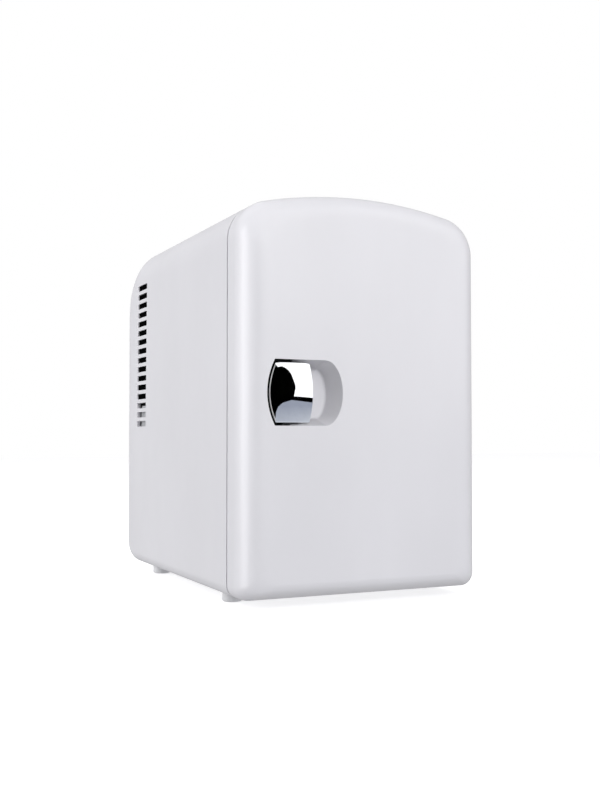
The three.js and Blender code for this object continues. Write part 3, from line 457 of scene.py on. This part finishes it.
def dress_frame():
    """Gives every CAD node the material of its slot, and a fine round on its edges."""
    for part in frame["record"]["subparts"]:
        obj = frame["nodes"][part["node"]]
        for index in range(len(obj.material_slots)):
            obj.material_slots[index].material = MATERIALS[part["material_slot"]]
        bevel = obj.modifiers.new("bevel", "BEVEL")
        bevel.width = 0.25 * MM
        bevel.segments = 2
        bevel.limit_method = "ANGLE"
        bevel.angle_limit = math.radians(40)


# ---------------------------------------------------------------- body


def vent_slots(count, inset=0.0):
    """Outlines (y, z) of the upper slots of one side, in a column that leans a little."""
    slots = []
    for i in range(count):
        top = VENT["top"] - i * VENT["pitch"]
        shift = -VENT_LEAN["rate"] * (top - VENT_LEAN["level"])
        front, rear = VENT_Y[0] + shift + inset, VENT_Y[1] + shift - inset
        slots.append(rounded(front, rear, top - VENT["height"] + inset, top - inset, 0.5 * MM, 3))
    return slots


def vent_cutters(sign):
    x = sign * SHELL_HIGH.x
    return [prism(slot, "x", x - 6 * MM, x + 6 * MM) for slot in vent_slots(VENT["count"])]


def vent_shade_pads():
    """Flat black pads that fill the open slots from inside, on a thin strip behind the wall: painted shade for the
    dark inside of the vents.
    """
    for name, sign, count in (("vent_shade_left", -1, 13), ("vent_shade_right", 1, 16)):
        face = sign * (SHELL_HIGH.x - VENT_SHADE_PAD["recess"])
        seat = sign * (SHELL_HIGH.x - WALL - 0.02 * MM)
        back = sign * (SHELL_HIGH.x - WALL - VENT_SHADE_PAD["strip"])
        bottom = VENT["top"] - (count - 1) * VENT["pitch"] - VENT["height"]
        margin = VENT_SHADE_PAD["margin"]
        strip = rounded(VENT_Y[0] - margin, VENT_Y[1] + margin, bottom - MM, VENT["top"] + MM, MM, 4)
        form = prism(strip, "x", *sorted((seat, back)))
        slots = vent_slots(count, VENT_SHADE_PAD["gap"])
        add(form, *[prism(slot, "x", *sorted((face, back))) for slot in slots])
        soften(form, 0)
        piece(form, name, PAINTED_SHADE_BLACK, "fridge_body", "black_plastic")


def cover_outline(offset):
    corner = 12 * MM + offset
    low, high = COVER_LOW, COVER_HIGH
    return rounded(low.x - offset, high.x + offset, low.z - offset, high.z + offset, corner, 10)


COVER_SCREWS = ["rear_screw_1", "rear_screw_2", "rear_screw_3", "rear_screw_4"]


def middle(node):
    low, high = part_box(node)
    return (low + high) / 2


def opening_round(node, half_x, half_z, corner, steps):
    """A rounded opening (x, z) round the middle of a node."""
    place = middle(node)
    return rounded(place.x - half_x, place.x + half_x, place.z - half_z, place.z + half_z, corner, steps)


def shell_skin():
    rear = SHELL_HIGH.y
    pin = JOINTS["carry_handle_fold"]["pos_m"]
    form = body_form(0, SHELL_LOW.y)
    hollow = body_form(WALL, SHELL_LOW.y - 10 * MM)
    top = 270 * MM
    half, wall = HANDLE_TRAY["half"], HANDLE_TRAY["wall"]
    tray_front, tray_rear, tray_bottom = HANDLE_TRAY["front"], HANDLE_TRAY["rear"], HANDLE_TRAY["bottom"]
    tray = prism(rectangle(-half, half, tray_front, tray_rear), "z", tray_bottom, top)
    meet(tray, body_form(0, SHELL_LOW.y))
    ledge = prism(cover_outline(5 * MM), "y", COVER_HIGH.y - 5.1 * MM, rear - MM)
    cut(form, hollow)
    add(form, tray, ledge)
    well = rounded(wall - half, half - wall, tray_front + wall, tray_rear - wall, 6 * MM)
    cutters = [
        prism(well, "z", tray_bottom + wall, top),
        prism(circle(pin[1], pin[2], PIN_BORE["handle"], 24), "x", -60 * MM, 60 * MM),
        prism(cover_outline(0.35 * MM), "y", COVER_LOW.y - GAP, rear + 5 * MM),
        prism(cover_outline(-6 * MM), "y", 100 * MM, rear + 5 * MM),
    ]
    for screw in COVER_SCREWS:
        place = middle(screw)
        cutters.append(prism(circle(place.x, place.z, SCREW["clearance"], 20), "y", 100 * MM, rear + 5 * MM))
    cut(form, *cutters, *vent_cutters(-1), *vent_cutters(1))
    soften(form, 0.3 * MM, 2)
    piece(form, "shell_skin", SHELL, "fridge_body", "shell_white", "outer_shell")


def feet():
    for end in ("front", "rear"):
        for side in ("left", "right"):
            node = f"foot_{end}_{side}"
            low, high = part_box(node)
            radius = (high.x - low.x) / 2
            sole = [(radius - 1.6 * MM, 0), (radius - 0.8 * MM, 0.15 * MM), (radius - 0.3 * MM, 0.5 * MM)]
            flare, top = FOOT_WALL["flare"], FOOT_WALL["top"]
            wall = [(radius, 1.1 * MM), (radius - 0.25 * MM, flare), (radius - 0.7 * MM, top)]
            stem = [(FOOT_WALL["stem"], top), (FOOT_WALL["stem"], high.z)]
            place = middle(node)
            foot = turned(node + "_pad", sole + wall + stem, (place.x, place.y), "z")
            soften(foot, 0)
            piece(foot, node + "_pad", FOOT, "fridge_body", "foot_grey", node)


def rear_panel():
    """The rear cover: round-ended grille slots, a raised ring round them and cut-outs for the controls."""
    low, high = COVER_LOW, COVER_HIGH
    panel = prism(cover_outline(0), "y", low.y, high.y)
    ring_inside, ring_outside = GRILLE["ring"]
    ring = prism(circle(0, MIDDLE_Z, ring_outside, 96), "y", low.y + MM, high.y + GRILLE["rise"])
    cut(ring, prism(circle(0, MIDDLE_Z, ring_inside, 96), "y", low.y, high.y + 5 * MM))
    add(panel, ring)
    cutters = []
    thin = GRILLE["half"]
    for step in range(-4, 5):
        rise = step * GRILLE["pitch"]
        z = MIDDLE_Z + rise
        half = math.sqrt(GRILLE["radius"] ** 2 - (abs(rise) + thin) ** 2)
        for x0, x1 in ((-half, -thin), (thin, half)):
            slot = rounded(x0, x1, z - thin, z + thin, 1.9 * MM, 6)
            cutters.append(prism(slot, "y", low.y - 5 * MM, high.y + 5 * MM))
    for screw in COVER_SCREWS:
        place = middle(screw)
        cutters.append(prism(circle(place.x, place.z, SCREW["clearance"]), "y", low.y - MM, high.y + MM))
        sink = high.y - SCREW["sink"]
        cutters.append(prism(circle(place.x, place.z, SCREW["head"]), "y", sink, high.y + MM))
    holes = [
        opening_round("mains_inlet", 11.4 * MM, 7.4 * MM, 3.4 * MM, 8),
        opening_round("switch_body", 4.4 * MM, 7.4 * MM, 0.8 * MM, 4),
    ]
    for node, radius in (("battery_inlet", 6.4), ("lens_warm", 2.2), ("lens_cool", 2.2)):
        place = middle(node)
        holes.append(circle(place.x, place.z, radius * MM))
    cutters += [prism(hole, "y", low.y - MM, high.y + MM) for hole in holes]
    cut(panel, *cutters)
    soften(panel, 0.3 * MM, 2)
    piece(panel, "rear_panel", SHELL, "fridge_body", "shell_white", "rear_cover")


def rear_screws():
    """Countersunk cross-head screws."""
    for node in COVER_SCREWS:
        low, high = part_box(node)
        place = middle(node)
        radius = (high.x - low.x) / 2
        top = high.y
        head = [(radius - 0.5 * MM, top - 0.9 * MM), (radius, top - 0.4 * MM), (radius - 0.4 * MM, top)]
        shank = [(0.7 * MM, low.y), (1.4 * MM, low.y + 1.5 * MM), (1.4 * MM, high.y - MM)]
        screw = turned(node + "_cross", shank + head, (place.x, place.z), "y")
        arms = []
        for width, height in ((0.32 * MM, 1.5 * MM), (1.5 * MM, 0.32 * MM)):
            arm = rectangle(place.x - width, place.x + width, place.z - height, place.z + height)
            arms.append(prism(arm, "y", top - 0.7 * MM, top + MM))
        cut(screw, *arms)
        soften(screw, 0.08 * MM, 2)
        piece(screw, node + "_cross", STEEL, "fridge_body", "steel", node)


def carry_grip():
    """The folded carry handle: a flat bow that follows the arched top, well rounded for the hand."""
    low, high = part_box("carry_handle")
    pin = JOINTS["carry_handle_fold"]["pos_m"]
    bar = 10 * MM
    outer = prism(rounded(low.x, high.x, low.y - 20 * MM, high.y, 10 * MM, 14), "z", 200 * MM, 300 * MM)
    inner = rounded(low.x + bar, high.x - bar, low.y - 40 * MM, high.y - bar, 6 * MM, 12)
    cut(outer, prism(inner, "z", 190 * MM, 310 * MM))
    radius = (SHELL_HIGH.x**2 + SAG**2) / (2 * SAG)
    centre = SHELL_HIGH.z - radius
    upper = arc(0, centre, radius - 0.8 * MM, TURN / 4 - 0.25, TURN / 4 + 0.25, 60)
    under = arc(0, centre, radius - 7.8 * MM, TURN / 4 + 0.25, TURN / 4 - 0.25, 60)
    reach = pin[1] - low.y
    ends = prism(circle(pin[1], pin[2], reach, 48), "x", -0.1, 0.1)
    add(ends, prism(rectangle(pin[1], 0.2, 0.1, 0.4), "x", -0.1, 0.1))
    meet(outer, prism(upper + under, "y", -0.2, 0.2), ends)
    bore = circle(pin[1], pin[2], PIN_BORE["handle"], 24)
    cut(outer, prism(bore, "x", -60 * MM, -49 * MM), prism(bore, "x", 49 * MM, 60 * MM))
    soften(outer, 1.1 * MM, 4, 45)
    piece(outer, "carry_grip", SHELL, "carry_handle", "shell_white", "carry_handle")


# ---------------------------------------------------------------- door

HINGE_X, HINGE_Y = JOINTS["door_hinge"]["pos_m"][:2]
LUGS = [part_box("hinge_lug_lower"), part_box("hinge_lug_upper")]
RECESS = {
    "left": -69 * MM, "right": -18.5 * MM, "half": 20 * MM, "bow": 5 * MM, "end": 12 * MM, "depth": 15 * MM,
    "draft_from": -41 * MM, "draft_to": -30.5 * MM,
}
DRAFT = 4.1 * MM
FLOOR_ROUND = 2.0 * MM


def handle_outline(inset, steps=16):
    """The handle opening: a bowed left side and a right end that is half an ellipse."""
    half = RECESS["half"] - inset
    bow = (RECESS["half"] ** 2 + RECESS["bow"] ** 2) / (2 * RECESS["bow"]) - inset
    bow_x = RECESS["left"] + inset + bow
    angle = math.asin(half / bow)
    end = [
        (RECESS["right"] - RECESS["end"] + x * (RECESS["end"] - inset), MIDDLE_Z + z * half)
        for x, z in arc(0, 0, 1, -TURN / 4, TURN / 4, 2 * steps)
    ]
    return end + arc(bow_x, MIDDLE_Z, bow, TURN / 2 - angle, TURN / 2 + angle, 2 * steps)


def recess_cutter():
    """The finger recess. To the right of the lever its wall slopes in and its floor is radiused."""
    front = DOOR_LOW.y
    depth = RECESS["depth"]
    straight = depth - FLOOR_ROUND
    stations = [(-5 * MM, 0), (0, 0), (straight / 2, DRAFT / 2), (straight, DRAFT)]
    for i in range(1, 9):
        angle = TURN / 4 * i / 8
        inset = DRAFT + FLOOR_ROUND * (1 - math.cos(angle))
        stations.append((straight + FLOOR_ROUND * math.sin(angle), inset))
    blend = RECESS["draft_to"] - RECESS["draft_from"]
    rings = []
    for distance, inset in stations:
        ring = []
        for (x, z), (near_x, near_z) in zip(handle_outline(0), handle_outline(inset)):
            share = min(max((x - RECESS["draft_from"]) / blend, 0), 1)
            share *= share * (3 - 2 * share)
            ring.append((x + share * (near_x - x), front + distance, z + share * (near_z - z)))
        rings.append(ring)
    return loft("recess", rings)


def tail_slot(front, rear):
    """Room for the lever's tail to swing."""
    x = JOINTS["latch_pull"]["pos_m"][0]
    half = 4.6 * MM
    return prism(rectangle(x - 2.6 * MM, x + half, MIDDLE_Z - half, MIDDLE_Z + half), "y", front, rear)


def hinge_edge():
    """Everything but the door's rear hinge-side corner, which is round about the hinge axis."""
    radius = DOOR_HIGH.y - HINGE_Y
    plan = [(-0.4, -0.4), (HINGE_X + radius, -0.4)] + arc(HINGE_X, HINGE_Y, radius, 0, TURN / 4, 14)
    return prism(plan + [(-0.4, DOOR_HIGH.y)], "z", -0.05, 0.4)


def door_skin():
    form = door_form(0, DOOR_HIGH.y)
    cut(form, door_form(WALL, DOOR_HIGH.y + 10 * MM))
    wall = 1.8 * MM
    cup = prism(handle_outline(-wall), "y", DOOR_LOW.y + MM, DOOR_LOW.y + RECESS["depth"] + wall)
    bosses = []
    for low, high in LUGS:
        boss = rectangle(70 * MM, 0.1, low.z - 11 * MM, high.z + 11 * MM)
        inside = meet(prism(boss, "y", -113.5 * MM, -99.7 * MM), door_form(0, DOOR_HIGH.y))
        bosses.append(inside)
    add(form, cup, *bosses)
    meet(form, hinge_edge())
    cutters = [recess_cutter(), tail_slot(-112 * MM, -104 * MM)]
    for low, high in LUGS:
        notch = rectangle(71.6 * MM, 0.2, -112.2 * MM, -90 * MM)
        cutters.append(prism(notch, "z", low.z - MM, high.z + MM))
        bore = circle(HINGE_X, HINGE_Y, PIN_BORE["hinge"], 28)
        cutters.append(prism(bore, "z", low.z - 8 * MM, high.z + 8 * MM))
    cut(form, *cutters)
    soften(form, 0.35 * MM, 3)
    piece(form, "door_skin", SHELL, "door", "shell_white", "door_outer")


def lever_face(u, v):
    """A point of the lever's outer face: u and v run from -1 to 1 across and up it."""
    low, high = LEVER_LOW, LEVER_HIGH
    left = low.x + LEVER["left_bow"] * v * v
    right = high.x - LEVER["right_bow"] * v * v
    x = (left + right) / 2 + u * (right - left) / 2
    share = (x - low.x) / (high.x - low.x)
    crown = 1 - ((share - 0.5) / 0.5) ** 2
    fall = (1 - crown) * (LEVER["fall"] - LEVER["fall_change"] * share) * MM
    y = low.y + fall + LEVER["dish"] * v * v
    return x, y, MIDDLE_Z + v * (high.z - low.z) / 2


def lever_chrome():
    """The latch lever: a doubly curved plated plate on a barrel, with a tail that works the tongue."""
    columns, rows = 48, 48
    front, back = [], []
    for j in range(rows + 1):
        for i in range(columns + 1):
            x, y, z = lever_face(2 * i / columns - 1, 2 * j / rows - 1)
            front.append((x, y, z))
            back.append((x, y + LEVER["thickness"], z))
    count = len(front)

    def index(i, j):
        return j * (columns + 1) + i

    faces = []
    for j in range(rows):
        for i in range(columns):
            quad = [index(i, j), index(i + 1, j), index(i + 1, j + 1), index(i, j + 1)]
            faces.append(tuple(quad))
            faces.append(tuple(q + count for q in reversed(quad)))
    rim = [index(i, 0) for i in range(columns)] + [index(columns, j) for j in range(rows)]
    rim += [index(i, rows) for i in range(columns, 0, -1)] + [index(0, j) for j in range(rows, 0, -1)]
    for a, b in zip(rim, rim[1:] + rim[:1]):
        faces.append((a, b, b + count, a + count))
    plate = solid("lever_chrome", front + back, faces)
    x, y = JOINTS["latch_pull"]["pos_m"][:2]
    half = LEVER["web"]
    barrel = prism(circle(x, y, LEVER["barrel"]), "z", MIDDLE_Z - 14.3 * MM, MIDDLE_Z + 14.3 * MM)
    web = prism(rectangle(x - half, x + half, -121 * MM, y), "z", MIDDLE_Z - 14 * MM, MIDDLE_Z + 14 * MM)
    tail = prism(rectangle(x - half, x + half, y, -104 * MM), "z", MIDDLE_Z - 4 * MM, MIDDLE_Z + 4 * MM)
    add(plate, barrel, web, tail)
    coil_room = rectangle(x - 3.2 * MM, x + 3.2 * MM, y - 3 * MM, y + 3.2 * MM)
    cut(
        plate,
        prism(circle(x, y, PIN_BORE["lever"], 24), "z", 0.05, 0.2),
        prism(coil_room, "z", MIDDLE_Z + 5.6 * MM, MIDDLE_Z + 10.8 * MM),
    )
    soften(plate, 0.45 * MM, 4, 50)
    piece(plate, "lever_chrome", CHROME, "latch_lever", "chrome", "latch_lever")


def lever_edge_highlight():
    """A soft grey bead along the lever's left edge, a painted highlight for the light caught on that edge."""
    rings = []
    for step in range(41):
        x, y, z = lever_face(HIGHLIGHT_BEAD["across"], HIGHLIGHT_BEAD["reach"] * (step / 20 - 1))
        rings.append([(u, v, z) for u, v in circle(x, y + HIGHLIGHT_BEAD["sink"], HIGHLIGHT_BEAD["radius"], 12)])
    bead = loft("lever_edge_highlight", rings)
    soften(bead, 0)
    piece(bead, "lever_edge_highlight", SEAL, "latch_lever", "seal_grey")


def latch_surround():
    """The black housing that lines the left part of the recess."""
    front, rear = HOUSING_LOW.y, HOUSING_HIGH.y
    cup = prism(handle_outline(GAP), "y", front, rear)
    cut(cup, prism(handle_outline(CUP["inset"]), "y", front - 5 * MM, rear - CUP["floor"]))
    slope = [(-0.2, -0.2), (-56 * MM, -0.2), (-54 * MM, front + 2 * MM), (HOUSING_HIGH.x, rear - 3 * MM)]
    slope += [(HOUSING_HIGH.x, 0), (-0.2, 0)]
    meet(cup, prism(slope, "z", 0, 0.4))
    x, y = JOINTS["latch_pull"]["pos_m"][:2]
    cut(
        cup,
        tail_slot(-116 * MM, -104 * MM),
        prism(circle(x, y, PIN_BORE["lever"], 24), "z", MIDDLE_Z - 19 * MM, MIDDLE_Z + 19 * MM),
    )
    soften(cup, 0.25 * MM, 3)
    piece(cup, "latch_surround", BLACK, "door", "black_plastic", "latch_housing")


# ---------------------------------------------------------------- studio

CAMERA_PLACE = Vector((-0.3099, -0.6862, 0.1057))
CAMERA_YAW = math.radians(-25.05)
CAMERA_PITCH = math.radians(1.925)
CAMERA_FOCAL = 46.35


def studio_surface(name, colour, glow=0.0):
    """A matt studio surface that may glow."""
    nodes = Nodes(name)
    nodes.feed("Base Color", nodes.ramp(nodes.noise(1.5, 2), [(0.3, shade(colour, 0.995)), (0.7, colour)]))
    nodes.shader.inputs["Roughness"].default_value = 1.0
    nodes.shader.inputs["Specular IOR Level"].default_value = 0.0
    nodes.shader.inputs["Emission Color"].default_value = (1, 1, 1, 1)
    nodes.shader.inputs["Emission Strength"].default_value = glow
    return nodes.material


def glowing_card(name, low, high, heights, glow):
    """A card that gives off its own light only, from one colour at its lower height to another above."""
    nodes = Nodes(name)
    nodes.shader.inputs["Base Color"].default_value = (0, 0, 0, 1)
    nodes.shader.inputs["Specular IOR Level"].default_value = 0.0
    split = nodes.tree.nodes.new("ShaderNodeSeparateXYZ")
    nodes.tree.links.new(nodes.place, split.inputs["Vector"])
    rise = nodes.tree.nodes.new("ShaderNodeMapRange")
    rise.inputs["From Min"].default_value = heights[0]
    rise.inputs["From Max"].default_value = heights[1]
    nodes.tree.links.new(split.outputs["Z"], rise.inputs["Value"])
    nodes.feed("Emission Color", nodes.ramp(rise.outputs["Result"], [(0.0, low), (1.0, high)]))
    nodes.shader.inputs["Emission Strength"].default_value = glow
    return nodes.material


def card(name, outline, material, seen_by):
    """A flat studio card through the given corners, seen only by the rays named in seen_by."""
    obj = solid(name, outline, [tuple(range(len(outline)))])
    obj.data.materials.append(material)
    obj.visible_camera = "camera" in seen_by
    obj.visible_diffuse = "diffuse" in seen_by
    obj.visible_glossy = "glossy" in seen_by
    obj.visible_shadow = False


def seen_from_lever(distance, directions):
    """Corners on an upright plane in front of the lever, from degrees to the left and degrees up."""
    corners = []
    for left, up in directions:
        away = distance / math.cos(math.radians(left))
        x = LEVER_HIGH.x - distance * math.tan(math.radians(left))
        corners.append((x, DOOR_LOW.y - distance, MIDDLE_Z + away * math.tan(math.radians(up))))
    return corners


# The outline of a dark card that the lever mirrors, in degrees to the left and up
DARK_SHAPE = [
    (50, 14), (25, 14.5), (18, 13.4), (6, 14), (-5, 13.2), (-13, 12), (-20, 10.3), (-26, 7.5), (-30, 5.5),
    (-30.5, 4), (-28, 2.3), (-26.5, 0.7), (-80, 0.7), (-80, -0.6), (-19, -1), (6, -2.4), (18, -4),
    (23, -6), (25, -9.3), (27, -13), (50, -13),
]


def area_light(name, place, aim, size, power):
    """A soft light that no camera ray or reflection sees."""
    light = bpy.data.lights.new(name, "AREA")
    light.shape = "RECTANGLE"
    light.size, light.size_y = size
    light.energy = power
    obj = bpy.data.objects.new(name, light)
    bpy.context.scene.collection.objects.link(obj)
    direction = Vector(aim) - Vector(place)
    obj.matrix_world = Matrix.Translation(place) @ direction.to_track_quat("-Z", "Y").to_matrix().to_4x4()
    obj.visible_camera = False
    obj.visible_glossy = False


def studio():
    scene = bpy.context.scene
    scene.view_settings.view_transform = "Standard"
    world = bpy.data.worlds.new("studio")
    world.use_nodes = True
    sky = world.node_tree.nodes["Background"]
    sky.inputs["Color"].default_value = (0.985, 0.985, 1.0, 1)
    sky.inputs["Strength"].default_value = 0.51
    scene.world = world
    floor = solid("floor", [(-6, -6, 0), (6, -6, 0), (6, 6, 0), (-6, 6, 0)], [(0, 1, 2, 3)])
    floor.data.materials.append(studio_surface("pale_floor", (0.84, 0.84, 0.84), 0.56))
    floor.visible_diffuse = False
    floor.visible_glossy = False
    full = (1.0, 1.0, 1.0)
    white = glowing_card("white_backdrop", full, full, (0, 1), 1.0)
    card("backdrop", [(-9, 4, -1), (12, 4, -1), (12, 4, 9), (-9, 4, 9)], white, ["camera"])
    middle_of_body = (0, -0.02, 0.13)
    area_light("front", (0.15, -1.9, 0.65), middle_of_body, (1.3, 1.1), 18)
    area_light("side", (-1.6, 0.5, 0.55), middle_of_body, (1.1, 1.1), 17)
    area_light("top", (0.0, 0.1, 1.6), middle_of_body, (1.2, 1.2), 7.5)
    dark = glowing_card("dark_card", full, full, (0, 1), 0.0)
    card("dark_shape", seen_from_lever(1.2, DARK_SHAPE), dark, ["glossy"])
    table = glowing_card("table_card", (0.66, 0.69, 0.75), (0.36, 0.39, 0.47), (-0.25, 0.05), 1.0)
    below = [(60, -45), (60, 0), (-80, 0), (-80, -45)]
    card("table_sheen", seen_from_lever(1.25, below), table, ["glossy"])
    bright = glowing_card("bright_card", full, full, (0, 1), 1.5)
    above = [(60, 0), (60, 40), (-80, 40), (-80, 0)]
    card("bright_front", seen_from_lever(1.3, above), bright, ["glossy"])
    strip = glowing_card("bright_strip", full, full, (0, 1), 3.3)
    strip_corners = [(-1.3, -0.60, -0.2), (-1.3, 0.15, -0.2), (-1.3, 0.15, 1.0), (-1.3, -0.60, 1.0)]
    card("bright_strip", strip_corners, strip, ["glossy"])
    camera = bpy.data.objects.new("camera", bpy.data.cameras.new("camera"))
    camera.data.lens = CAMERA_FOCAL
    camera.data.sensor_fit = "VERTICAL"
    camera.data.sensor_height = 36
    camera.data.clip_start = 0.01
    camera.location = CAMERA_PLACE
    camera.rotation_euler = (TURN / 4 + CAMERA_PITCH, 0, CAMERA_YAW)
    scene.collection.objects.link(camera)
    scene.camera = camera


dress_frame()
shell_skin()
vent_shade_pads()
feet()
rear_panel()
rear_screws()
door_skin()
lever_chrome()
lever_edge_highlight()
latch_surround()
carry_grip()
studio()
